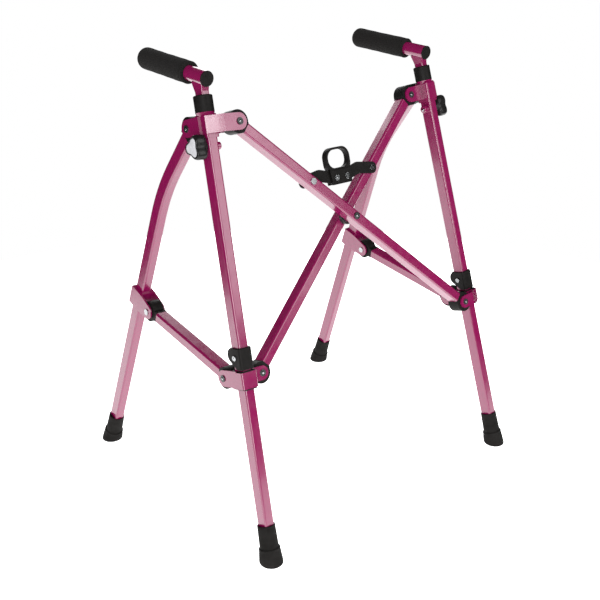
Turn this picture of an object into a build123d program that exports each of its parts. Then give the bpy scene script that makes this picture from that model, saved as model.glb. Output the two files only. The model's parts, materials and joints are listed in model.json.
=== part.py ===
"""Folding walking frame: two tubular sides joined by a front X brace, with a pull ring that folds it.

The frame stands on the XY plane.  X runs from the left side to the right side, Y from front to
rear, Z up.  The origin is on the floor at the middle of the four feet.
"""
from build123d import *
import os
from math import cos, radians, sin, tan

# Driving dimensions, in millimetres and degrees
leg_lean = 16.26  # front legs lean rearward
leg_tilt = 3.446  # front legs tilt inward at the top
front_foot_x = 287.9  # front foot from the middle
rear_foot_reach = 492.3  # rear foot behind the front leg, square to that leg

tube_narrow = 18.0
tube_deep = 23.0
tube_corner = 3.25
tube_wall = 1.8
post_narrow = 14.0
post_deep = 19.0
post_corner = 2.0

leg_bottom = 14.0  # leg tube ends, measured up the leg from the floor
leg_top = 716.0
height_travel = 100.0  # handle height range
clamp_height = 667.0

# Brackets on the front legs
upper_pivot_height = 698.5
lower_pivot_height = 306.5
upper_brace_reach = 40.0  # brace pivot inward of the leg's axis
lower_brace_reach = 36.5
upper_rear_reach = 34.0  # rear pivot behind the leg's axis
lower_rear_reach = 37.0
brace_layer = 15.0  # each brace bar runs this far in front of or behind the legs
clevis_gap = 24.0
cheek = 3.0
eye_width = 23.4
open_eye_width = 20.0  # the spreader's rear eye, which floats sideways in its clevis
eye_radius = 18.0
pin_radius = 4.0
rivet_radius = 3.0
running_gap = 0.05
seat_gap = 0.05

# Rear legs and side spreaders
rear_leg_knee = (150.4, 612.3)
rear_leg_bend = 323.0
spreader_seat = 359.5  # spreader bracket, up the rear leg from the floor
spreader_offset = 42.25  # spreader pivot in front of the rear leg's axis

# Pull ring and its links
link_reach = 107.9  # link pivot from the crossing, up the brace bar
ring_rivet_x = 11.5
ring_dip = 4.0  # ring rivets sit below the link pivots, past centre
link_radius = 10.0
link_rise = 7.0  # links are cranked upward in the middle
link_thickness = 3.0
link_gap = 0.4

# Handles
handle_rise = 20.6  # handle from square to the front leg
handle_nose = (-18.8, 763.8)
handle_radius = 11.5
foam_radius = 17.5
foam_start = 47.5
foam_end = 177.8

LEFT, RIGHT = -1, 1
SIDE_NAMES = {LEFT: "left", RIGHT: "right"}

lean = radians(leg_lean)
tilt = radians(leg_tilt)
rearward = Vector(0, cos(lean), -sin(lean))
brace_up = Vector(0, sin(lean), cos(lean))
rear_foot_height = rear_foot_reach * tan(lean) / cos(tilt)
frame_depth = rear_foot_reach * cos(lean) + rear_foot_height * sin(lean) * cos(tilt)
front_foot_y = -frame_depth / 2


def leg_frame(side):
    """Plane at the foot of a front leg: Z up the leg, Y square to it towards the rear."""
    up_leg = brace_up * cos(tilt) + Vector(-side * sin(tilt), 0, 0)
    foot_point = (side * front_foot_x, front_foot_y, 0)
    return Plane(origin=foot_point, x_dir=rearward.cross(up_leg), z_dir=up_leg)


def brace_frame(side):
    """Plane of the X brace, for the bar whose upper end is on the given side (at minus X here)."""
    return Plane(origin=(0, front_foot_y, 0), x_dir=(-side, 0, 0), z_dir=brace_up)


def hinge_plane(pivot, axis, along):
    """Plane at a pivot with Y along the pivot's axis and Z along the member."""
    return Plane(origin=pivot, x_dir=Vector(axis).cross(Vector(along)), z_dir=along)


def save(piece, name, frame, seat=Plane.XY, mirrored=False):
    """Seat a piece in its frame, mirror it for the right side, and write its file."""
    shape = piece.part.moved(seat.location)
    if mirrored:
        shape = shape.mirror(Plane.YZ)
    shape = shape.moved(frame.location)
    shape.label = name
    export_step(shape, f"parts/{name}.step")


def save_both_sides(piece, name, seat=Plane.XY):
    """Write a side piece for the left leg and its mirror image for the right leg."""
    for side, word in SIDE_NAMES.items():
        save(piece, f"{word}_{name}", leg_frame(side), seat, mirrored=(side == RIGHT))


def tube_section(narrow=tube_narrow, deep=tube_deep, corner=tube_corner):
    """Rounded rectangular ring in the open sketch, narrow along its X."""
    RectangleRounded(narrow, deep, corner)
    inner_corner = max(corner - tube_wall, 0.5)
    RectangleRounded(narrow - 2 * tube_wall, deep - 2 * tube_wall, inner_corner, mode=Mode.SUBTRACT)


def leg_hole(width, depth, low, high):
    """Rounded rectangular core for a hole along the Z axis."""
    with BuildPart() as core:
        with BuildSketch(Plane.XY.offset(low)):
            RectangleRounded(width, depth, tube_corner)
        extrude(amount=high - low)
    return core.part


def front_leg():
    with BuildPart() as leg:
        with BuildSketch(Plane.XY.offset(leg_bottom)):
            tube_section()
        extrude(amount=leg_top - leg_bottom)
        with BuildSketch(Plane.YZ):
            with Locations((0, clamp_height)):
                Circle(pin_radius + running_gap)
        extrude(amount=tube_narrow, both=True, mode=Mode.SUBTRACT)
    return leg


def clevis_bracket(box, low, high, brace, rear, wing_side, cheek_radii):
    """Box sleeve with a brace clevis (cheeks across Y) and a rear clevis (cheeks across X).

    box is the sleeve's width and depth, brace and rear are the pivots' reach and height, and
    wing_side is -1 where the brace clevis is in front of the leg and 1 where it is behind.  A
    front clevis has a slanted web; a rear one springs from the rear clevis's inner cheek.
    """
    half_width = box[0] / 2
    half_depth = box[1] / 2
    brace_radius, rear_radius = cheek_radii
    wing_outside = brace_layer + clevis_gap / 2 + cheek
    with BuildPart() as bracket:
        with BuildSketch(Plane.XY.offset(low)):
            RectangleRounded(box[0], box[1], tube_corner)
        extrude(amount=high - low)
        for end in (-1, 1):
            with BuildSketch(Plane.YZ.offset(end * (clevis_gap + cheek) / 2)):
                with Locations((rear[0] / 2, rear[1])):
                    Rectangle(rear[0], 2 * rear_radius)
                with Locations(rear):
                    Circle(rear_radius)
            extrude(amount=cheek / 2, both=True)
            cheek_y = wing_side * brace_layer + end * (clevis_gap + cheek) / 2
            cheek_start = 0 if abs(cheek_y) < half_depth else (clevis_gap + cheek) / 2
            with BuildSketch(Plane.XZ.offset(-cheek_y)):
                with Locations(((cheek_start + brace[0]) / 2, brace[1])):
                    Rectangle(brace[0] - cheek_start, 2 * brace_radius)
                with Locations(brace):
                    Circle(brace_radius)
            extrude(amount=cheek / 2, both=True)
        if wing_side < 0:
            with BuildSketch(Plane.XY.offset(brace[1] - brace_radius)):
                with BuildLine():
                    Polyline(
                        (-half_width, cheek - half_depth),
                        (-half_width, -half_depth),
                        (half_width, -wing_outside),
                        (half_width + cheek, -wing_outside),
                        (half_width + cheek, cheek - wing_outside),
                        (half_width, cheek - wing_outside),
                        (cheek - half_width, cheek - half_depth),
                        close=True,
                    )
                make_face()
            extrude(amount=2 * brace_radius)
        with Locations(Plane(origin=(brace[0], wing_side * brace_layer, brace[1]), z_dir=(0, 1, 0))):
            Cylinder(pin_radius, 2 * brace_layer + 2 * cheek, mode=Mode.SUBTRACT)
        with Locations(Plane(origin=(0, rear[0], rear[1]), z_dir=(1, 0, 0))):
            Cylinder(pin_radius, 2 * clevis_gap, mode=Mode.SUBTRACT)
    return bracket


upper_box = (25.0, 30.0)
upper_low, upper_high = 684.0, 711.7
collar_bottom, collar_top = 717.5, 743.0
collar_radius = 14.75
brace_upper = (upper_brace_reach, upper_pivot_height)
rear_upper = (upper_rear_reach, upper_pivot_height)


def top_bracket(wing_side):
    """Upper bracket: the clevises, a tapered shoulder above and a short skirt below."""
    skirt = 4.5
    sleeve = clevis_bracket(upper_box, upper_low, upper_high, brace_upper, rear_upper, wing_side, (13.0, 13.5))
    fit_width = tube_narrow + 2 * seat_gap
    fit_depth = tube_deep + 2 * seat_gap
    tube_hole = leg_hole(fit_width, fit_depth, upper_low - skirt, leg_top + seat_gap)
    post_hole = leg_hole(post_narrow + 0.8, post_deep + 0.8, leg_top, collar_bottom)
    with BuildPart() as bracket:
        add(sleeve.part)
        shoulder = collar_bottom - upper_high
        with Locations((0, 0, upper_high + shoulder / 2)):
            Cone(upper_box[0] / 2, collar_radius, shoulder)
        with BuildSketch(Plane.XY.offset(upper_high)):
            RectangleRounded(upper_box[0] - 1, upper_box[1] - 1, tube_corner)
        extrude(amount=shoulder / 2, taper=25)
        with BuildSketch(Plane.XY.offset(upper_low - skirt)):
            RectangleRounded(upper_box[0] - 2, upper_box[1] - 3, tube_corner)
        extrude(amount=skirt)
        add([tube_hole, post_hole], mode=Mode.SUBTRACT)
    return bracket


def top_collar():
    post_hole = leg_hole(post_narrow + 0.8, post_deep + 0.8, collar_bottom, collar_top)
    with BuildPart() as collar:
        with BuildSketch(Plane.XY.offset(collar_bottom)):
            Circle(collar_radius)
        extrude(amount=collar_top - collar_bottom)
        fillet(collar.edges().group_by(Axis.Z)[-1], radius=2.0)
        add(post_hole, mode=Mode.SUBTRACT)
    return collar


slider_box = (30.0, 32.0)
slider_low, slider_high = 291.6, 318.2
bush_box = (26.0, 28.0)
bush_hole = (tube_narrow + 3.9, tube_deep + 0.8)
bush_flange = 1.8
brace_lower = (lower_brace_reach, lower_pivot_height)
rear_lower = (lower_rear_reach, lower_pivot_height)


def slider_bracket(wing_side):
    sleeve = clevis_bracket(slider_box, slider_low, slider_high, brace_lower, rear_lower, wing_side, (11.6, 13.6))
    bush_seat = leg_hole(bush_box[0], bush_box[1], slider_low - 10, slider_high + 10)
    with BuildPart() as bracket:
        add(sleeve.part)
        add(bush_seat, mode=Mode.SUBTRACT)
    return bracket


def slider_bush():
    """Plastic bush inside the slider, with a thin flange above and below it."""
    sliding_hole = leg_hole(*bush_hole, slider_low - bush_flange, slider_high + bush_flange)
    with BuildPart() as bush:
        with BuildSketch(Plane.XY.offset(slider_low)):
            RectangleRounded(bush_box[0], bush_box[1], tube_corner)
        extrude(amount=slider_high - slider_low)
        for flange_base in (slider_low - bush_flange, slider_high):
            with BuildSketch(Plane.XY.offset(flange_base)):
                RectangleRounded(clevis_gap - 0.1, slider_box[1], tube_corner)
            extrude(amount=bush_flange)
        add(sliding_hole, mode=Mode.SUBTRACT)
    return bush


def headed_pin(plane, length, radius, head_radius, head=1.5, tail_head=True):
    """Pin centred on a plane's origin, along its normal, with a low head on each end."""
    with Locations(plane):
        Cylinder(radius, length)
        with Locations((0, 0, length / 2 + head / 2)):
            Cylinder(head_radius, head)
        if tail_head:
            with Locations((0, 0, -length / 2 - head / 2)):
                Cylinder(head_radius, head)


def bracket_pins(brace, rear, wing_side):
    pin_length = clevis_gap + 2 * cheek
    with BuildPart() as pins:
        brace_origin = (brace[0], wing_side * brace_layer, brace[1])
        headed_pin(Plane(origin=brace_origin, z_dir=(0, 1, 0)), pin_length, pin_radius, 5.5)
        rear_plane = Plane(origin=(0, rear[0], rear[1]), z_dir=(-1, 0, 0))
        headed_pin(rear_plane, pin_length, pin_radius, 5.5, tail_head=False)
    return pins


stop_low, stop_high = 322.0, 356.5
stop_box = (25.0, 30.0)
ear_centre = (6.5, 345.0)
ear_radius = 12.0


def stop_collar():
    """Moulded collar, cut away low at the back, with a round ear beside the screw on its left."""
    tube_hole = leg_hole(tube_narrow + 2 * seat_gap, tube_deep + 2 * seat_gap, stop_low, stop_high)
    with BuildPart() as collar:
        with BuildSketch(Plane.XY.offset(stop_low)):
            RectangleRounded(stop_box[0], stop_box[1], 5)
        extrude(amount=stop_high - stop_low)
        chamfer(collar.faces().sort_by(Axis.Z)[-1].edges(), length=1.0)
        with BuildSketch(Plane.YZ):
            with BuildLine():
                Polyline((-4, stop_low - 1), (25, stop_low - 1), (25, 344), close=True)
            make_face()
        extrude(amount=stop_box[0], both=True, mode=Mode.SUBTRACT)
        with BuildSketch(Plane.YZ.offset(-stop_box[0] / 2)):
            with Locations(ear_centre):
                Circle(ear_radius)
        extrude(amount=8.0)
        add(tube_hole, mode=Mode.SUBTRACT)
    return collar


def stop_screw():
    screw_seat = (-stop_box[0] / 2, 1.0, 341.0)
    screw_plane = Plane(origin=screw_seat, z_dir=(-1, 0, 0))
    with BuildPart() as screw:
        with BuildSketch(screw_plane):
            Circle(4.5)
        extrude(amount=1.6)
        fillet(screw.edges().sort_by(Axis.X)[0], radius=0.8)
        with BuildSketch(screw_plane.offset(1.6)):
            Rectangle(6.0, 1.2)
        extrude(amount=-0.9, mode=Mode.SUBTRACT)
    return screw


def ferrule(seat):
    """Rubber foot: a sleeve up the leg, a stepped base, and a level sole on the floor."""
    step_height = 26.0
    sleeve_top = 69.0
    foot_plane = Plane(leg_frame(LEFT).location * seat.location)
    floor_normal = foot_plane.to_local_coords(foot_plane.origin + Vector(0, 0, 1))
    socket = leg_hole(tube_narrow + 2 * seat_gap, tube_deep + 2 * seat_gap, leg_bottom, sleeve_top)
    with BuildPart() as foot:
        with BuildSketch(Plane(origin=(0, 0, 0), z_dir=floor_normal)):
            Circle(19.7)
        with BuildSketch(Plane.XY.offset(step_height)):
            Circle(17.5)
        loft()
        with BuildSketch(Plane.XY.offset(step_height)):
            Circle(15.7)
        with BuildSketch(Plane.XY.offset(sleeve_top)):
            Circle(14.6)
        loft()
        add(socket, mode=Mode.SUBTRACT)
    return foot


# Hinged members: the pivot's axis is Y and the member runs along Z
fitting_mouth = 17.0  # tube starts this far from the pivot
open_mouth = 25.0  # the same at the spreader's rear eye


def eye_fitting(in_plane, across, width=eye_width, mouth=fitting_mouth):
    """Plastic end fitting: an eye, a neck as wide as the tube, and a plug in the tube."""
    plug = 22.0
    with BuildPart() as fitting:
        with BuildSketch(Plane.XZ):
            Circle(eye_radius)
            with Locations((0, mouth / 2)):
                Rectangle(in_plane, mouth)
            with Locations((0, mouth + eye_radius)):
                Rectangle(2 * eye_radius, 2 * eye_radius, mode=Mode.SUBTRACT)
        extrude(amount=width / 2, both=True)
        with BuildSketch(Plane.XY.offset(mouth)):
            plug_gap = 2 * tube_wall + 2 * seat_gap
            RectangleRounded(in_plane - plug_gap, across - plug_gap, tube_corner - tube_wall + 0.2)
        extrude(amount=plug)
        with Locations(Plane.XZ):
            Cylinder(pin_radius + running_gap, 2 * eye_width, mode=Mode.SUBTRACT)
    return fitting


def fitting_pair(length, far_width=eye_width, far_mouth=fitting_mouth):
    """The two end fittings of a straight hinged tube; the far one may be narrower and longer."""
    near = eye_fitting(tube_narrow, tube_deep).part
    far = eye_fitting(tube_narrow, tube_deep, far_width, far_mouth).part
    with BuildPart() as pair:
        add([near, far.rotate(Axis.Y, 180).translate((0, 0, length))])
    return pair


def hinged_tube(length, holes=(), far_mouth=fitting_mouth):
    """Straight tube between two end fittings; holes lists (distance, radius) across its width."""
    with BuildPart() as tube:
        with BuildSketch(Plane.XY.offset(fitting_mouth)):
            tube_section()
        extrude(amount=length - fitting_mouth - far_mouth)
        for distance, radius in holes:
            with Locations(Plane(origin=(0, 0, distance), z_dir=(0, 1, 0))):
                Cylinder(radius, 2 * tube_deep, mode=Mode.SUBTRACT)
    return tube


# X brace: the bar with its upper end at minus X runs in front of the legs
def in_brace(reach, height):
    """Brace-plane place of a point beside the leg at minus X."""
    across = -front_foot_x + height * sin(tilt) + reach * cos(tilt)
    return Vector(across, 0, height * cos(tilt) - reach * sin(tilt))


bar_top = in_brace(*brace_upper)
near_foot = in_brace(*brace_lower)
bar_foot = Vector(-near_foot.X, 0, near_foot.Z)
bar_length = (bar_foot - bar_top).length
bar_direction = (bar_foot - bar_top).normalized()
crossing_distance = -bar_top.X / bar_direction.X
crossing = bar_top + bar_direction * crossing_distance
link_pivot = crossing - bar_direction * link_reach
layer = Vector(0, -brace_layer, 0)
bar_seat = hinge_plane(bar_top + layer, (0, 1, 0), bar_direction)
ring_rivet = Vector(-ring_rivet_x, 0, link_pivot.Z - ring_dip)

bar_inside = brace_layer - tube_deep / 2  # from the brace's middle plane to a bar's inner face
bar_outside = brace_layer + tube_deep / 2


def centre_pivot():
    """Pivot where the bars cross, with a spacer ring between them."""
    with BuildPart() as pivot:
        centre = Plane(origin=crossing, z_dir=(0, 1, 0))
        headed_pin(centre, 2 * bar_outside + 0.4, pin_radius, 6.0)
        with Locations(centre):
            Cylinder(13.0, 2 * bar_inside - 0.2)
    return pivot


def link():
    """Flat cranked link from a brace bar to the pull ring."""
    crank = (link_pivot + ring_rivet) / 2 + Vector(0, 0, link_rise)
    with BuildPart() as strap:
        for end in (link_pivot, ring_rivet):
            with BuildSketch(Plane.XZ.offset(link_gap)):
                with Locations((end.X, end.Z), (crank.X, crank.Z)):
                    Circle(link_radius)
                make_hull()
            extrude(amount=link_thickness)
        for end in (link_pivot, ring_rivet):
            with Locations(Plane(origin=end, z_dir=(0, 1, 0))):
                Cylinder(rivet_radius + running_gap, 4 * link_thickness, mode=Mode.SUBTRACT)
    return strap


def link_rivet():
    """Rivet through a brace bar and its link."""
    tail = 0.1 - link_gap
    shank = bar_outside + tail
    middle = Vector(link_pivot.X, -(bar_outside - tail) / 2, link_pivot.Z)
    with BuildPart() as rivet:
        with Locations(Plane(origin=middle, z_dir=(0, -1, 0))):
            Cylinder(rivet_radius, shank)
            with Locations((0, 0, shank / 2 + 1.0)):
                Cylinder(5.5, 2.0)
            with Locations((0, 0, -shank / 2 - 0.3)):
                Cylinder(5.0, 0.6)
    return rivet


ring_half_width = 23.0
ring_half_depth = 7.5
ring_slot = 3.8
block_low = ring_rivet.Z - 11.0
block_high = ring_rivet.Z + 13.0


def pull_ring():
    """Moulded block that straddles the links, with a wide finger ring above it."""
    ring_half_thickness = 6.0
    rim = 3.8
    ring_width = 53.0
    ring_low = block_high - 6.0
    ring_high = block_high + 37.5
    hole_low = block_high + 3.0
    hole_high = ring_high - rim
    slot_height = ring_rivet.Z + 13.8 - block_low
    with BuildPart() as ring:
        with BuildSketch(Plane.XZ):
            with Locations((0, (ring_low + ring_high) / 2)):
                RectangleRounded(ring_width, ring_high - ring_low, 17.0)
            with Locations((0, (hole_low + hole_high) / 2)):
                RectangleRounded(ring_width - 2 * rim, hole_high - hole_low, 14.0, mode=Mode.SUBTRACT)
        extrude(amount=ring_half_thickness, both=True)
        chamfer(ring.faces().group_by(Axis.Y)[0].edges(), length=0.8)
        chamfer(ring.faces().group_by(Axis.Y)[-1].edges(), length=0.8)
        with BuildSketch(Plane.XZ):
            with BuildLine():
                Polyline(
                    (ring_half_width - 1.5, block_low),
                    (ring_half_width + 1.5, block_high),
                    (-ring_half_width - 1.5, block_high),
                    (1.5 - ring_half_width, block_low),
                    close=True,
                )
            make_face()
        extrude(amount=ring_half_depth, both=True)
        with Locations((0, 0, block_low + slot_height / 2)):
            Box(3 * ring_half_width, 2 * ring_slot, slot_height, mode=Mode.SUBTRACT)
        for end in (-1, 1):
            with Locations(Plane(origin=(end * ring_rivet_x, 0, ring_rivet.Z), z_dir=(0, 1, 0))):
                Cylinder(rivet_radius, 4 * ring_half_depth, mode=Mode.SUBTRACT)
    return ring


def ring_rivets():
    """Rivets in the ring block; only the left link is held, and the right link's eye stays open."""
    head = 1.5
    short = ring_half_depth - ring_slot - 0.1
    held = ring_half_depth - link_gap + 0.2
    stations = (
        (-ring_rivet_x, -1, held),
        (ring_rivet_x, -1, short),
        (-ring_rivet_x, 1, short),
        (ring_rivet_x, 1, short),
    )
    with BuildPart() as rivets:
        for across, face, shank in stations:
            face_plane = Plane(origin=(across, face * ring_half_depth, ring_rivet.Z), z_dir=(0, face, 0))
            with Locations(face_plane):
                with Locations((0, 0, -shank / 2)):
                    Cylinder(rivet_radius, shank)
                with Locations((0, 0, head / 2)):
                    Cylinder(5.0, head)
    return rivets


# Rear leg, in the side plane (the front leg's YZ plane)
rear_hinge = Vector(0, *rear_upper)
knee = Vector(0, *rear_leg_knee)
rear_foot_point = Vector(0, rear_foot_reach, rear_foot_height)
rear_up = (knee - rear_foot_point).normalized()
rear_forward = Vector(1, 0, 0).cross(rear_up)
upper_run = (knee - rear_hinge).normalized()
spreader_leg_point = rear_foot_point + rear_up * spreader_seat
spreader_top = spreader_leg_point + rear_forward * spreader_offset
spreader_bottom = Vector(0, *rear_lower)


def rear_leg():
    with BuildPart() as leg:
        start = rear_hinge + upper_run * fitting_mouth
        finish = rear_foot_point + rear_up * leg_bottom
        with BuildLine(Plane.YZ) as route:
            FilletPolyline((start.Y, start.Z), (knee.Y, knee.Z), (finish.Y, finish.Z), radius=rear_leg_bend)
        with BuildSketch(Plane(origin=route.line @ 0, x_dir=(1, 0, 0), z_dir=route.line % 0)):
            tube_section()
        sweep(path=route.line)
    return leg


def spreader_bracket():
    """Clevis on the rear leg: X towards the spreader pivot, Y along that pivot's axis."""
    half_length = 17.0
    half_depth = 14.5
    tube_hole = leg_hole(tube_deep + 2 * seat_gap, tube_narrow + 2 * seat_gap, -half_length, half_length)
    with BuildPart() as bracket:
        Box(2 * half_depth, clevis_gap, 2 * half_length)
        for end in (-1, 1):
            with BuildSketch(Plane.XZ.offset(end * (clevis_gap + cheek) / 2)):
                Rectangle(2 * half_depth, 2 * half_length)
                with Locations((spreader_offset, 0)):
                    Circle(13.0)
                make_hull()
            extrude(amount=cheek / 2, both=True)
        add(tube_hole, mode=Mode.SUBTRACT)
        with Locations(Plane(origin=(spreader_offset, 0, 0), z_dir=(0, 1, 0))):
            Cylinder(pin_radius, 2 * clevis_gap, mode=Mode.SUBTRACT)
    return bracket


def spreader_rivets():
    """Pivot studs held in the two cheeks; they stop short of the spreader's eye between them."""
    with BuildPart() as rivets:
        for face in (-1, 1):
            outer = face * (clevis_gap / 2 + cheek)
            with Locations(Plane(origin=(spreader_offset, outer, 0), z_dir=(0, face, 0))):
                with Locations((0, 0, -cheek / 2)):
                    Cylinder(pin_radius, cheek)
                with Locations((0, 0, 0.75)):
                    Cylinder(5.5, 1.5)
    return rivets


# Handle: Z along the grip, from its front end
handle_seat = Plane(
    origin=(0, *handle_nose),
    x_dir=(1, 0, 0),
    z_dir=(0, cos(radians(handle_rise)), sin(radians(handle_rise))),
)
post_low = clamp_height - height_travel - 22.0
post_high = 765.0


def handle_post():
    """Post that slides in the front leg, slotted for the clamp bolt and flared under the handle."""
    slot_radius = pin_radius + 0.3
    with BuildPart() as post:
        with BuildSketch(Plane.XY.offset(post_low)):
            tube_section(post_narrow, post_deep, post_corner)
        extrude(amount=post_high - post_low)
        with BuildSketch(Plane.XY.offset(748.0)):
            RectangleRounded(post_narrow - 0.2, post_deep - 0.2, post_corner)
        with BuildSketch(Plane.XY.offset(post_high)):
            RectangleRounded(post_narrow + 4, post_deep + 9, 4.0)
        loft()
        with BuildSketch(Plane.YZ):
            with Locations((0, clamp_height - height_travel / 2)):
                SlotCenterToCenter(height_travel, 2 * slot_radius, rotation=90)
        extrude(amount=post_narrow, both=True, mode=Mode.SUBTRACT)
        with BuildSketch(handle_seat.offset(-20)):
            Circle(handle_radius)
        extrude(amount=120, mode=Mode.SUBTRACT)
    return post


def handle_tube():
    with BuildPart() as tube:
        with BuildSketch(Plane.XY.offset(2.0)):
            Circle(handle_radius)
            Circle(handle_radius - tube_wall, mode=Mode.SUBTRACT)
        extrude(amount=foam_end - 8.0)
    return tube


def handle_cap():
    """Domed plug in the front end of the handle tube."""
    with BuildPart() as cap:
        with BuildSketch(Plane.XY):
            Circle(handle_radius + 0.4)
        extrude(amount=2.0)
        fillet(cap.edges().sort_by(Axis.Z)[0], radius=1.2)
        with BuildSketch(Plane.XY.offset(2.0)):
            Circle(handle_radius - tube_wall - 0.1)
        extrude(amount=14.0)
    return cap


def handle_foam():
    """Closed-end foam sleeve over the handle tube."""
    with BuildPart() as foam:
        with BuildSketch(Plane.XY.offset(foam_start)):
            Circle(foam_radius)
        extrude(amount=foam_end - foam_start)
        fillet(foam.edges().sort_by(Axis.Z)[-1], radius=10.0)
        fillet(foam.edges().sort_by(Axis.Z)[0], radius=3.0)
        with BuildSketch(Plane.XY.offset(foam_start)):
            Circle(handle_radius + seat_gap)
        extrude(amount=foam_end - 5.5 - foam_start, mode=Mode.SUBTRACT)
    return foam


# Height clamp: Z outward from the leg's axis
clamp_seat = Plane(origin=(0, 0, clamp_height), x_dir=(0, 1, 0), z_dir=(-1, 0, 0))
knob_base, knob_face = 15.6, 33.0
leg_face = tube_narrow / 2
bolt_end = 24.0


def knob_outline(shrink):
    """Three rounded lobes about a round middle, drawn inward by shrink."""
    with PolarLocations(11.5, 3):
        Circle(9.0 - shrink)
    Circle(13.0 - shrink)


def height_knob():
    with BuildPart() as knob:
        with BuildSketch(Plane.XY.offset(knob_base)) as outline:
            knob_outline(0)
            fillet(outline.vertices(), radius=3.0)
        extrude(amount=knob_face - knob_base)
        chamfer(knob.faces().sort_by(Axis.Z)[-1].edges(), length=1.2)
        with BuildSketch(Plane.XY.offset(leg_face + 0.3)):
            Circle(9.0)
        extrude(amount=knob_base - leg_face - 0.3)
        with BuildSketch(Plane.XY.offset(leg_face)):
            Circle(pin_radius + running_gap)
        extrude(amount=bolt_end + 0.5 - leg_face, mode=Mode.SUBTRACT)
        with BuildSketch(Plane.XY.offset(knob_face)) as recess:
            knob_outline(3.0)
            fillet(recess.vertices(), radius=2.0)
        extrude(amount=-1.5, mode=Mode.SUBTRACT)
    return knob


def knob_inlay():
    with BuildPart() as inlay:
        with BuildSketch(Plane.XY.offset(knob_face - 1.5)) as outline:
            knob_outline(3.2)
            fillet(outline.vertices(), radius=2.0)
        extrude(amount=1.7)
    return inlay


def clamp_bolt():
    with BuildPart() as bolt:
        boss_reach = 17.7
        with BuildSketch(Plane.XY.offset(-boss_reach)):
            Circle(6.5)
        extrude(amount=boss_reach - leg_face)
        fillet(bolt.edges().sort_by(Axis.Z)[0], radius=2.0)
        with BuildSketch(Plane.XY.offset(-leg_face)):
            Circle(pin_radius)
        extrude(amount=leg_face + bolt_end)
    return bolt


def write_side_pieces():
    rear_foot_seat = Plane(origin=rear_foot_point, x_dir=(1, 0, 0), z_dir=rear_up)
    bracket_seat = Plane(origin=spreader_leg_point, x_dir=rear_forward, z_dir=rear_up)
    eye_seat = hinge_plane(rear_hinge, (1, 0, 0), upper_run)
    spreader_vector = spreader_top - spreader_bottom
    spreader_seat_plane = hinge_plane(spreader_bottom, (1, 0, 0), spreader_vector.normalized())
    save_both_sides(front_leg(), "front_leg")
    save_both_sides(top_collar(), "top_collar")
    save_both_sides(slider_bush(), "slider_bush")
    save_both_sides(ferrule(Plane.XY), "front_foot")
    save_both_sides(ferrule(rear_foot_seat), "rear_foot", rear_foot_seat)
    save_both_sides(rear_leg(), "rear_leg")
    save_both_sides(eye_fitting(tube_deep, tube_narrow), "rear_leg_eye", eye_seat)
    save_both_sides(spreader_bracket(), "rear_leg_bracket", bracket_seat)
    save_both_sides(spreader_rivets(), "rear_leg_rivets", bracket_seat)
    spreader = hinged_tube(spreader_vector.length, far_mouth=open_mouth)
    save_both_sides(spreader, "spreader", spreader_seat_plane)
    spreader_eyes = fitting_pair(spreader_vector.length, open_eye_width, open_mouth)
    save_both_sides(spreader_eyes, "spreader_eyes", spreader_seat_plane)
    save_both_sides(handle_post(), "handle_post")
    save_both_sides(handle_tube(), "handle_tube", handle_seat)
    save_both_sides(handle_cap(), "handle_cap", handle_seat)
    save_both_sides(handle_foam(), "handle_foam", handle_seat)
    save_both_sides(height_knob(), "height_knob", clamp_seat)
    save_both_sides(knob_inlay(), "knob_inlay", clamp_seat)
    save_both_sides(clamp_bolt(), "clamp_bolt", clamp_seat)


def write_brackets():
    """Pieces that differ left from right, or that face the same way on both legs.

    The brace clevis is in front of the left leg above and behind it below, and the other way round
    on the right leg; the stop collars have their screws on the left.
    """
    for side, word in SIDE_NAMES.items():
        frame = leg_frame(side)
        mirrored = side == RIGHT
        save(stop_collar(), f"{word}_stop_collar", frame)
        save(stop_screw(), f"{word}_stop_collar_screw", frame)
        save(top_bracket(side), f"{word}_top_bracket", frame, mirrored=mirrored)
        save(bracket_pins(brace_upper, rear_upper, side), f"{word}_top_pins", frame, mirrored=mirrored)
        save(slider_bracket(-side), f"{word}_slider_bracket", frame, mirrored=mirrored)
        save(bracket_pins(brace_lower, rear_lower, -side), f"{word}_slider_pins", frame, mirrored=mirrored)


def write_brace():
    bar_holes = (
        (crossing_distance, pin_radius + running_gap),
        (crossing_distance - link_reach, rivet_radius + running_gap),
    )
    for side, bar in ((LEFT, "front_bar"), (RIGHT, "rear_bar")):
        frame = brace_frame(side)
        word = SIDE_NAMES[side]
        save(hinged_tube(bar_length, bar_holes), bar, frame, bar_seat)
        save(fitting_pair(bar_length), f"{bar}_eyes", frame, bar_seat)
        save(link(), f"{word}_link", frame)
        save(link_rivet(), f"{word}_link_rivet", frame)
    frame = brace_frame(LEFT)
    save(centre_pivot(), "centre_pivot", frame)
    save(pull_ring(), "pull_ring", frame)
    save(ring_rivets(), "ring_rivets", frame)


os.makedirs("parts", exist_ok=True)
write_side_pieces()
write_brackets()
write_brace()
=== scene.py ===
"""Looks of the folding walking frame: enamelled tubes, moulded fittings, rubber feet and foam grips."""
import json
import math

import bmesh
import bpy
import numpy as np
from mathutils import Matrix, Vector, noise


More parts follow.
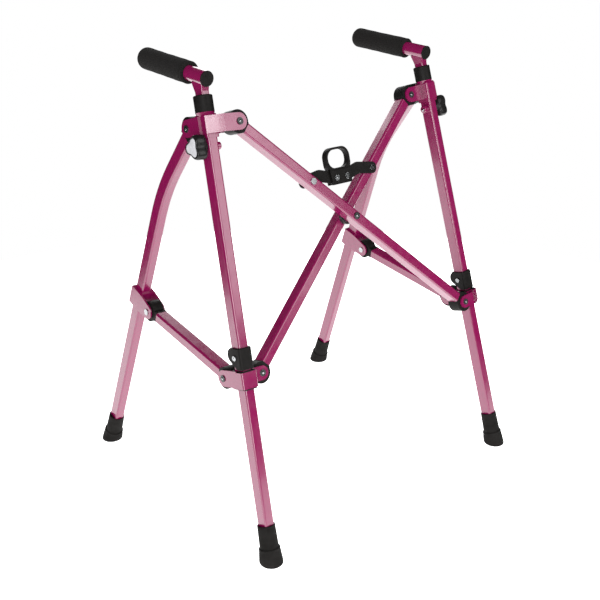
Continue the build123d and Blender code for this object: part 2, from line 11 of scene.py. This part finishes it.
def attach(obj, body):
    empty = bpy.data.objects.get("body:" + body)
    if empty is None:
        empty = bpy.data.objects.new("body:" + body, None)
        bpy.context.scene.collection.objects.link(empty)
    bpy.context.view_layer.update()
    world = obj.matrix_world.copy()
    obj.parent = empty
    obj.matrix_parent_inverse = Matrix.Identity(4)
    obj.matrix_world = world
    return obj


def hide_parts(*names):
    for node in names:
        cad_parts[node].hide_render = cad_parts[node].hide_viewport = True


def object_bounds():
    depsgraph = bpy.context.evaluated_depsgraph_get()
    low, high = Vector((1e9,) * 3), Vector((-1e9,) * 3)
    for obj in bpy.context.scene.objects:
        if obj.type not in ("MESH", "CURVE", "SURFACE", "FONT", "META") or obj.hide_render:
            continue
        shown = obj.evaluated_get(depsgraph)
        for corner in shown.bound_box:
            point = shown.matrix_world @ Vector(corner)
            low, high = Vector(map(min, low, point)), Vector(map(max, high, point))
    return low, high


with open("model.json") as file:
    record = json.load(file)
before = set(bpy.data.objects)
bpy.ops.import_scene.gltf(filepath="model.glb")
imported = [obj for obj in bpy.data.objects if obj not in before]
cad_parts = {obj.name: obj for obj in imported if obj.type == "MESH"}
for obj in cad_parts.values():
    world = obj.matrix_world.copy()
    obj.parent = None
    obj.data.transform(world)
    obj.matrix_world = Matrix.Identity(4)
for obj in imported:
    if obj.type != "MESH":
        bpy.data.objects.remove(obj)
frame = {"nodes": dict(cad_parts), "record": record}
cad_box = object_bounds()

SIDES = ("left", "right")
MM = 0.001

# Camera: before the left front leg and above it; place in metres, angles in degrees, lens in millimetres
CAMERA_PLACE = Vector((-1.0532, -1.1953, 0.9452))
CAMERA_YAW = 41.274
CAMERA_PITCH = -23.284
CAMERA_ROLL = 0.263
CAMERA_LENS = 55.08
CAMERA_SENSOR = 36.0
CAMERA_SHIFT_Y = 0.0354

# Studio: each softbox has a name, a place and a size in metres, and its power in watts
FLOOR_RADIUS = 1.4
FLOOR_GLOW = 1.1
SOFTBOXES = (
    ("camera-side softbox", (-1.9, -2.2, 1.0), (0.9, 1.9), 60.0),
    ("front softbox", (0.8, -2.1, 1.25), (1.4, 1.5), 21.0),
    ("back softbox", (1.2, 2.4, 1.3), (1.6, 1.6), 30.0),
)

# Foam skin: how often its waves and its dimples repeat, per metre
FOAM_WAVES = 45.0
FOAM_DIMPLES = 160.0

# Rivet ends, each a radius and a height
PIN_DOME = (2.2 * MM, 1.0 * MM)
SCREW_DOME = (3.2 * MM, 1.2 * MM)


# ---------------------------------------------------------------- materials
class Surface:
    """A material's node tree, with the few nodes that every finish here is made of."""

    def __init__(self, name, roughness, edge_radius=0.0, specular=0.5):
        self.material = bpy.data.materials.new(name)
        self.material.use_nodes = True
        self.tree = self.material.node_tree
        self.shader = self.tree.nodes["Principled BSDF"]
        self.shader.inputs["Roughness"].default_value = roughness
        self.shader.inputs["Specular IOR Level"].default_value = specular
        self.place = self.node("ShaderNodeTexCoord").outputs["Object"]
        self.normal = None
        if edge_radius:
            edge = self.node("ShaderNodeBevel", samples=6)
            edge.inputs["Radius"].default_value = edge_radius
            self.normal = edge.outputs["Normal"]
            self.link(self.normal, self.shader.inputs["Normal"])

    def node(self, kind, **settings):
        """A new node of the tree, with its settings."""
        made = self.tree.nodes.new(kind)
        for key, value in settings.items():
            setattr(made, key, value)
        return made

    def link(self, source, target):
        """Wire an output to an input."""
        self.tree.links.new(source, target)

    def noise(self, scale, detail=3.0, stretch=None):
        """Noise over the object, at a scale in cycles per metre, stretched along an axis if asked."""
        made = self.node("ShaderNodeTexNoise")
        made.inputs["Scale"].default_value = scale
        made.inputs["Detail"].default_value = detail
        source = self.place
        if stretch:
            mapping = self.node("ShaderNodeMapping")
            mapping.inputs["Scale"].default_value = stretch
            self.link(self.place, mapping.inputs["Vector"])
            source = mapping.outputs["Vector"]
        self.link(source, made.inputs["Vector"])
        return made.outputs["Fac"]

    def cells(self, scale):
        """Distance from the middles of small random cells, at a scale in cells per metre."""
        made = self.node("ShaderNodeTexVoronoi", feature="F1")
        made.inputs["Scale"].default_value = scale
        self.link(self.place, made.inputs["Vector"])
        return made.outputs["Distance"]

    def colour(self, source, stops):
        """Colour the surface by a ramp over a 0 to 1 source; stops lists (place, colour)."""
        made = self.node("ShaderNodeValToRGB")
        band = made.color_ramp
        while len(band.elements) < len(stops):
            band.elements.new(0.5)
        for element, (position, colour) in zip(band.elements, stops):
            element.position = position
            element.color = (*colour, 1.0)
        self.link(source, made.inputs["Fac"])
        self.link(made.outputs["Color"], self.shader.inputs["Base Color"])

    def roughness(self, source, low, high):
        """Vary the roughness from low to high over the middle of a 0 to 1 source."""
        made = self.node("ShaderNodeMapRange")
        made.inputs["From Min"].default_value = 0.3
        made.inputs["From Max"].default_value = 0.7
        made.inputs["To Min"].default_value = low
        made.inputs["To Max"].default_value = high
        self.link(source, made.inputs["Value"])
        self.link(made.outputs["Result"], self.shader.inputs["Roughness"])

    def bump(self, height, distance, strength=1.0):
        """Raise the surface by up to distance metres; further bumps stack on the first."""
        made = self.node("ShaderNodeBump")
        made.inputs["Strength"].default_value = strength
        made.inputs["Distance"].default_value = distance
        self.link(height, made.inputs["Height"])
        if self.normal is not None:
            self.link(self.normal, made.inputs["Normal"])
        self.normal = made.outputs["Normal"]
        self.link(self.normal, self.shader.inputs["Normal"])


def shade(colour, factor):
    """The colour made darker or lighter by a factor."""
    return tuple(channel * factor for channel in colour)


def enamel():
    """Glossy magenta enamel: faint mottle, orange peel and a thin clear coat."""
    magenta = (0.16, 0.0025, 0.05)
    skin = Surface("magenta enamel", 0.2, specular=0.9)
    skin.colour(skin.noise(9.0, 4.0), ((0.25, shade(magenta, 0.94)), (0.75, shade(magenta, 1.06))))
    skin.roughness(skin.noise(60.0, 6.0), 0.16, 0.26)
    skin.bump(skin.noise(700.0, 2.0), 0.03 * MM, 0.25)
    skin.shader.inputs["Coat Weight"].default_value = 0.3
    skin.shader.inputs["Coat Roughness"].default_value = 0.05
    return skin.material


def moulded_plastic():
    """Black moulded plastic with a fine spark-eroded grain and slightly polished patches."""
    black = (0.007, 0.0063, 0.006)
    skin = Surface("black moulded plastic", 0.5, edge_radius=0.7 * MM, specular=0.1)
    skin.colour(skin.noise(90.0, 5.0), ((0.3, shade(black, 0.8)), (0.7, shade(black, 1.25))))
    skin.roughness(skin.noise(45.0, 5.0), 0.42, 0.6)
    skin.bump(skin.cells(2400.0), 0.06 * MM, 0.5)
    return skin.material


def gloss_plastic():
    """Black glossy plastic of the clamp knobs, finely scuffed."""
    skin = Surface("black gloss plastic", 0.25, edge_radius=0.5 * MM, specular=0.25)
    skin.colour(skin.noise(120.0, 5.0), ((0.3, (0.006, 0.006, 0.006)), (0.7, (0.011, 0.0105, 0.0105))))
    skin.roughness(skin.noise(260.0, 6.0), 0.2, 0.38)
    skin.bump(skin.noise(1100.0, 2.0), 0.02 * MM, 0.4)
    return skin.material


def foot_rubber():
    """Matt rubber with a dusty bloom and moulding grain."""
    skin = Surface("foot rubber", 0.6, specular=0.08)
    skin.colour(skin.noise(35.0, 8.0), ((0.35, (0.006, 0.0055, 0.005)), (0.75, (0.011, 0.010, 0.0095))))
    skin.roughness(skin.noise(120.0, 4.0), 0.62, 0.85)
    skin.bump(skin.noise(1500.0, 3.0), 0.08 * MM, 0.6)
    return skin.material


def grip_foam():
    """Open-skin foam: cut cells with painted shade in their pits, over a soft mottle, with a sheen at the
    edges.
    """
    skin = Surface("grip foam", 0.93, specular=0.06)
    # painted shade: each cell is coloured darker toward its middle, where the same cells sink the surface
    # into a pit
    skin.colour(skin.cells(1150.0), ((0.1, (0.003, 0.003, 0.003)), (0.6, (0.011, 0.010, 0.0095))))
    skin.bump(skin.noise(180.0, 6.0), 0.25 * MM, 0.5)
    skin.bump(skin.cells(1150.0), 0.35 * MM, 0.9)
    skin.shader.inputs["Sheen Weight"].default_value = 0.02
    skin.shader.inputs["Sheen Roughness"].default_value = 0.6
    return skin.material


def bright_metal():
    """Polished chrome with hairline swirl marks."""
    skin = Surface("polished chrome", 0.15, edge_radius=0.4 * MM)
    skin.shader.inputs["Metallic"].default_value = 1.0
    skin.colour(skin.noise(300.0, 4.0), ((0.3, (0.30, 0.31, 0.32)), (0.7, (0.42, 0.43, 0.44))))
    skin.roughness(skin.noise(900.0, 4.0, stretch=(1.0, 1.0, 8.0)), 0.08, 0.24)
    skin.bump(skin.noise(2500.0, 2.0, stretch=(1.0, 6.0, 1.0)), 0.01 * MM, 0.3)
    return skin.material


def dark_metal():
    """Blackened steel pins, with rubbed patches."""
    skin = Surface("blackened steel", 0.4, edge_radius=0.4 * MM)
    skin.shader.inputs["Metallic"].default_value = 0.85
    skin.colour(skin.noise(220.0, 6.0), ((0.35, (0.035, 0.038, 0.038)), (0.8, (0.12, 0.125, 0.125))))
    skin.roughness(skin.noise(400.0, 4.0), 0.3, 0.5)
    skin.bump(skin.noise(1800.0, 2.0), 0.02 * MM, 0.4)
    return skin.material


def pale_plastic():
    """Glossy off-white plastic inlay."""
    skin = Surface("pale plastic", 0.25, edge_radius=0.5 * MM)
    skin.colour(skin.noise(80.0, 4.0), ((0.3, (0.40, 0.40, 0.42)), (0.7, (0.48, 0.48, 0.50))))
    skin.roughness(skin.noise(150.0, 4.0), 0.2, 0.34)
    skin.bump(skin.noise(900.0, 2.0), 0.02 * MM, 0.4)
    return skin.material


ENAMEL = enamel()
PLASTIC = moulded_plastic()
GLOSS = gloss_plastic()
RUBBER = foot_rubber()
FOAM = grip_foam()
CHROME = bright_metal()
DARK = dark_metal()
PALE = pale_plastic()

SLOT_FINISHES = {
    "frame_paint": ENAMEL,
    "black_plastic": PLASTIC,
    "foot_rubber": RUBBER,
    "foam": FOAM,
    "chrome_rivet": CHROME,
    "dark_steel": DARK,
    "white_inlay": PALE,
}


def finish_cad_nodes():
    """Give each CAD node the finish of its material slot."""
    for entry in frame["record"]["subparts"]:
        node = frame["nodes"][entry["node"]]
        finish = SLOT_FINISHES[entry["material_slot"]]
        if not node.material_slots:
            node.data.materials.append(finish)
        for material_slot in node.material_slots:
            material_slot.material = finish


# ---------------------------------------------------------------- geometry read from the CAD nodes
def islands(node):
    """The separate solids of a CAD node, each as an array of its vertices."""
    mesh = frame["nodes"][node].data
    parent = {}

    def find(key):
        while parent[key] != key:
            parent[key] = parent[parent[key]]
            key = parent[key]
        return key

    weld_digits = 6
    keys = [tuple(round(c, weld_digits) for c in vertex.co) for vertex in mesh.vertices]
    for key in keys:
        parent.setdefault(key, key)
    for polygon in mesh.polygons:
        corners = [keys[index] for index in polygon.vertices]
        for corner in corners[1:]:
            parent[find(corner)] = find(corners[0])
    groups = {}
    for key in parent:
        groups.setdefault(find(key), []).append(key)
    return [np.array(points) for points in groups.values()]


def long_axis(points):
    """(start, end) of a long island, along its principal axis through the middle of its ends."""
    middle = points.mean(axis=0)
    direction = np.linalg.svd(points - middle, full_matrices=False)[2][0]
    reach = (points - middle) @ direction
    ends = []
    for limit in (reach.min(), reach.max()):
        rim = points[np.abs(reach - limit) < 0.05 * MM]
        centre = (rim.max(axis=0) + rim.min(axis=0)) / 2
        ends.append(Vector(centre))
    return ends


def axis_frame(start, direction):
    """Matrix with Z along direction and its origin at start."""
    return Matrix.Translation(start) @ direction.to_track_quat("Z", "Y").to_matrix().to_4x4()


# ---------------------------------------------------------------- pieces
def finished_piece(name, mesh, material, body):
    """A smooth-shaded visible object that rides on a body."""
    piece = bpy.data.objects.new(name, mesh)
    bpy.context.collection.objects.link(piece)
    mesh.materials.append(material)
    for polygon in mesh.polygons:
        polygon.use_smooth = True
    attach(piece, body)
    return piece


def skin_rings(name, rings, matrix=None):
    """Closed mesh from a stack of rings of points, each ring as long as the others."""
    work = bmesh.new()
    hoops = [[work.verts.new(spot) for spot in ring] for ring in rings]
    count = len(hoops[0])
    for lower, upper in zip(hoops, hoops[1:]):
        for step in range(count):
            after = (step + 1) % count
            work.faces.new((lower[step], lower[after], upper[after], upper[step]))
    for hoop, height_sign in ((hoops[0], -1), (hoops[-1], 1)):
        middle = work.verts.new(sum((vertex.co for vertex in hoop), Vector()) / count)
        for step in range(count):
            after = (step + 1) % count
            corners = (hoop[step], hoop[after], middle)
            work.faces.new(corners if height_sign > 0 else tuple(reversed(corners)))
    if matrix is not None:
        work.transform(matrix)
    mesh = bpy.data.meshes.new(name)
    work.to_mesh(mesh)
    work.free()
    return mesh


def turned_ring(radius, height, segments, wobble=0.0, lobes=0.0):
    """Ring of points about Z; wobble roughens it by noise and lobes swells it three times a turn."""
    ring = []
    for step in range(segments):
        angle = 2 * math.pi * step / segments
        reach = radius * (1 + lobes * math.cos(3 * angle))
        spot = Vector((reach * math.cos(angle), reach * math.sin(angle), height))
        if wobble and radius > wobble:
            waves = noise.noise(spot * FOAM_WAVES)
            dimples = noise.noise(spot * FOAM_DIMPLES)
            swell = wobble * waves + 0.4 * wobble * dimples
            spot.xy *= 1 + swell / radius
        ring.append(spot)
    return ring


def lathe(name, profile, matrix, segments, wobble=0.0):
    """Closed mesh turned from (radius, height) points."""
    rings = [turned_ring(radius, height, segments, wobble) for radius, height in profile]
    return skin_rings(name, rings, matrix)


def arc(centre_radius, centre_height, size, start, stop, steps):
    """Profile points on a round, angles in degrees from the outward direction."""
    points = []
    for step in range(steps + 1):
        angle = math.radians(start + (stop - start) * step / steps)
        points.append((centre_radius + size * math.cos(angle), centre_height + size * math.sin(angle)))
    return points


def foam_grip(side):
    """Closed-end foam sleeve with a rolled rim where it starts and a few soft waves along it."""
    node = f"{side}_handle_foam"
    near, far = sorted(long_axis(islands(node)[0]), key=lambda end: end.y)
    length = (far - near).length
    bore = 11.6 * MM
    radius = 17.4 * MM
    rim = 2.6 * MM
    dome = 11.0 * MM
    profile = [(bore, 1.2 * MM), (bore, 0.2 * MM)]
    profile += arc(radius - rim, rim, rim, -90, 60, 9)
    profile.append((radius - 0.9 * MM, 2 * rim + 0.6 * MM))
    body_start = 2 * rim + 2.0 * MM
    body_end = length - dome
    body_rings = 70
    for ring in range(body_rings + 1):
        along = ring / body_rings
        height = body_start + (body_end - body_start) * along
        wave = 0.12 * MM * math.sin(along * 9.0) - 0.1 * MM * math.cos(along * 23.0)
        profile.append((radius - 0.15 * MM + wave, height))
    profile += arc(radius - dome, length - dome, dome, 8, 86, 14)
    mesh = lathe(f"{side}_foam_grip", profile, axis_frame(near, far - near), 96, wobble=0.22 * MM)
    grip = finished_piece(f"{side}_foam_grip", mesh, FOAM, f"{side}_handle")
    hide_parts(node)


def rivet_dome(name, spot, direction, size, body):
    """Domed rivet end sitting on a pin's head; size is its radius and height."""
    radius, height = size
    steps = 8
    short_of_pole = 0.6
    profile = [(radius, -0.3 * MM)]
    for step in range(steps + 1):
        angle = 0.5 * math.pi * step / (steps + short_of_pole)
        profile.append((radius * math.cos(angle), height * math.sin(angle)))
    mesh = lathe(name, profile, axis_frame(spot, direction), 32)
    finished_piece(name, mesh, CHROME, body)


def rubber_foot(side, end):
    """Ferrule: a level sole with a rounded edge, a flared base with a rim, and a sleeve with a lip."""
    node = f"{side}_{end}_foot"
    points = islands(node)[0]
    floor_level = points[:, 2].min()
    sole = points[points[:, 2] < floor_level + 0.05 * MM]
    start = Vector((sole.max(axis=0) + sole.min(axis=0)) / 2)
    # the CAD foot's top rim: everything that lies about as far from the sole as its farthest point
    reach = np.linalg.norm(points - np.array(start), axis=1)
    rim = points[reach > 0.87 * reach.max()]
    top = Vector((rim.max(axis=0) + rim.min(axis=0)) / 2)
    up_leg = (top - start).normalized()
    length = (top - start).length
    step_height = 26.0 * MM
    level_until = 0.85 * step_height
    ribs_from = 9.0 * MM
    rib_depth = 0.12 * MM
    rib_count = 24
    # radius in millimetres, height as a share of the step
    base = (
        (16.9, 0.0), (18.5, 0.012), (19.3, 0.04), (19.65, 0.08), (19.7, 0.13), (19.5, 0.2),
        (19.0, 0.36), (18.5, 0.52), (18.0, 0.70), (17.65, 0.80), (17.35, 0.84), (17.7, 0.87),
        (17.75, 0.96), (17.4, 0.99), (16.8, 1.0), (15.95, 1.005), (15.65, 1.03),
    )
    profile = [(radius * MM, height * step_height) for radius, height in base]
    sleeve_start = profile[-1][1]
    sleeve_end = length - 1.6 * MM
    sleeve_rings = 12
    for ring in range(1, sleeve_rings + 1):
        along = ring / sleeve_rings
        radius = (15.65 - 0.95 * along) * MM
        profile.append((radius, sleeve_start + (sleeve_end - sleeve_start) * along))
    profile += [(14.6 * MM, length - 0.7 * MM), (14.2 * MM, length - 0.1 * MM), (13.7 * MM, length)]
    profile += [(13.35 * MM, length - 0.4 * MM), (13.3 * MM, length - 2.0 * MM)]
    side_way = up_leg.cross(Vector((0, 0, 1))).normalized()
    rings = []
    segments = 72
    for radius, height in profile:
        blend = min(height / level_until, 1.0)
        facing = Vector((0, 0, 1)).lerp(up_leg, blend * blend * (3 - 2 * blend)).normalized()
        forward_way = facing.cross(side_way)
        hub = start + up_leg * height
        ring = []
        for step in range(segments):
            angle = 2 * math.pi * step / segments
            reach = radius
            if ribs_from < height < step_height:
                reach += rib_depth * math.cos(rib_count * angle)
            across, forward = reach * math.cos(angle), reach * math.sin(angle)
            ring.append(hub + side_way * across + forward_way * forward)
        rings.append(ring)
    body = f"{side}_front_leg" if end == "front" else f"{side}_rear_leg"
    mesh = skin_rings(f"{side}_{end}_ferrule", rings)
    foot = finished_piece(f"{side}_{end}_ferrule", mesh, RUBBER, body)
    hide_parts(node)


def clamp_axis(side):
    """(inner end, outward direction) of the clamp bolt."""
    ends = long_axis(islands(f"{side}_clamp_bolt")[0])
    inner = min(ends, key=lambda end: abs(end.x))
    outer = max(ends, key=lambda end: abs(end.x))
    return inner, (outer - inner).normalized()


def clamp_knob(side):
    """Three-lobed knob with a rolled face edge, and its pale inlay."""
    inner, outward = clamp_axis(side)
    points = islands(f"{side}_height_knob")[0]
    along = (points - np.array(inner)) @ np.array(outward)
    spokes = points - np.array(inner) - np.outer(along, np.array(outward))
    lobe = Vector(spokes[np.argmax(np.linalg.norm(spokes, axis=1))]).normalized()
    low, high = along.min(), along.max()
    turn = Matrix((lobe, outward.cross(lobe), outward)).transposed().to_4x4()
    place = Matrix.Translation(inner + outward * low) @ turn
    depth = high - low
    mean = 16.7 * MM
    lobes = 0.225
    # mean radius, height and lobing of each ring
    stack = (
        (8.8 * MM, 0.0, 0.0), (9.0 * MM, 0.6 * MM, 0.0), (9.0 * MM, 3.6 * MM, 0.0),
        (0.70 * mean, 4.6 * MM, 0.6 * lobes), (0.86 * mean, 5.2 * MM, 0.9 * lobes),
        (0.95 * mean, 6.4 * MM, lobes), (0.99 * mean, 8.4 * MM, lobes), (mean, 11.0 * MM, lobes),
        (mean, depth - 6.0 * MM, lobes), (0.985 * mean, depth - 3.0 * MM, lobes),
        (0.95 * mean, depth - 1.2 * MM, lobes), (0.90 * mean, depth - 0.25 * MM, lobes),
        (0.85 * mean, depth, lobes), (0.815 * mean, depth - 0.3 * MM, lobes),
        (0.80 * mean, depth - 1.4 * MM, lobes), (0.4 * mean, depth - 1.45 * MM, 0.5 * lobes),
    )
    segments = 120
    rings = [turned_ring(radius, height, segments, lobes=swell) for radius, height, swell in stack]
    mesh = skin_rings(f"{side}_clamp_knob", rings, place)
    knob = finished_piece(f"{side}_clamp_knob", mesh, GLOSS, f"{side}_knob")
    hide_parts(f"{side}_height_knob")
    plate = (
        (0.64 * mean, depth - 1.5 * MM), (0.675 * mean, depth - 1.2 * MM), (0.675 * mean, depth - 0.5 * MM),
        (0.75 * mean, depth - 0.1 * MM), (0.70 * mean, depth + 0.05 * MM), (0.35 * mean, depth + 0.15 * MM),
    )
    rings = [turned_ring(radius, height, segments, lobes=lobes) for radius, height in plate]
    mesh = skin_rings(f"{side}_clamp_inlay", rings, place)
    inlay = finished_piece(f"{side}_clamp_inlay", mesh, PALE, f"{side}_knob")
    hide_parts(f"{side}_knob_inlay")
    rivet_dome(f"{side}_clamp_screw", inner, -outward, SCREW_DOME, f"{side}_front_leg")


def pin_domes():
    """A small dome on each end of every pivot pin and ring rivet."""
    carriers = {"centre_pivot": "front_bar", "ring_rivets": "pull_ring"}
    for side in SIDES:
        carriers[f"{side}_top_pins"] = f"{side}_front_leg"
        carriers[f"{side}_slider_pins"] = f"{side}_slider"
    for node, body in carriers.items():
        for number, points in enumerate(islands(node)):
            ends = long_axis(points)
            for end, other, word in ((ends[0], ends[1], "a"), (ends[1], ends[0], "b")):
                rivet_dome(f"{node}_dome_{number}{word}", end, end - other, PIN_DOME, body)


# ---------------------------------------------------------------- stage
def studio():
    """Light-table floor, even white surroundings and three softboxes."""
    floor_mesh = bpy.data.meshes.new("floor")
    work = bmesh.new()
    bmesh.ops.create_circle(work, cap_ends=True, segments=96, radius=FLOOR_RADIUS)
    work.to_mesh(floor_mesh)
    work.free()
    floor = bpy.data.objects.new("floor", floor_mesh)
    bpy.context.collection.objects.link(floor)
    table = Surface("light table", 0.9)
    table.colour(table.noise(3.0), ((0.3, (0.9, 0.9, 0.9)), (0.7, (0.93, 0.93, 0.93))))
    table.shader.inputs["Emission Color"].default_value = (1.0, 1.0, 1.0, 1.0)
    table.shader.inputs["Emission Strength"].default_value = FLOOR_GLOW
    floor_mesh.materials.append(table.material)

    world = bpy.data.worlds.new("studio")
    world.use_nodes = True
    background = world.node_tree.nodes["Background"]
    background.inputs["Color"].default_value = (1.0, 1.0, 1.0, 1.0)
    background.inputs["Strength"].default_value = 1.0
    world.cycles_visibility.glossy = False
    bpy.context.scene.world = world

    middle = (cad_box[0] + cad_box[1]) / 2
    for name, place, size, power in SOFTBOXES:
        data = bpy.data.lights.new(name, "AREA")
        data.shape = "RECTANGLE"
        data.size, data.size_y = size
        data.energy = power
        lamp = bpy.data.objects.new(name, data)
        lamp.location = place
        lamp.rotation_euler = (middle - lamp.location).to_track_quat("-Z", "Y").to_euler()
        bpy.context.collection.objects.link(lamp)


def camera():
    """The camera at its fixed place, turned by yaw, pitch and roll."""
    yaw, pitch, roll = (math.radians(angle) for angle in (CAMERA_YAW, CAMERA_PITCH, CAMERA_ROLL))
    ahead = Vector((math.sin(yaw) * math.cos(pitch), math.cos(yaw) * math.cos(pitch), math.sin(pitch)))
    level = ahead.cross(Vector((0, 0, 1))).normalized()
    above = level.cross(ahead)
    right = level * math.cos(roll) + above * math.sin(roll)
    up = above * math.cos(roll) - level * math.sin(roll)
    data = bpy.data.cameras.new("camera")
    data.lens = CAMERA_LENS
    data.sensor_width = CAMERA_SENSOR
    data.shift_y = CAMERA_SHIFT_Y
    eye = bpy.data.objects.new("camera", data)
    turn = Matrix((right, up, -ahead)).transposed().to_4x4()
    eye.matrix_world = Matrix.Translation(CAMERA_PLACE) @ turn
    bpy.context.collection.objects.link(eye)
    bpy.context.scene.camera = eye


# ---------------------------------------------------------------- scene
bpy.context.scene.view_settings.view_transform = "Standard"
camera()
studio()
finish_cad_nodes()
for side in SIDES:
    foam_grip(side)
    clamp_knob(side)
    for end in ("front", "rear"):
        rubber_foot(side, end)
pin_domes()
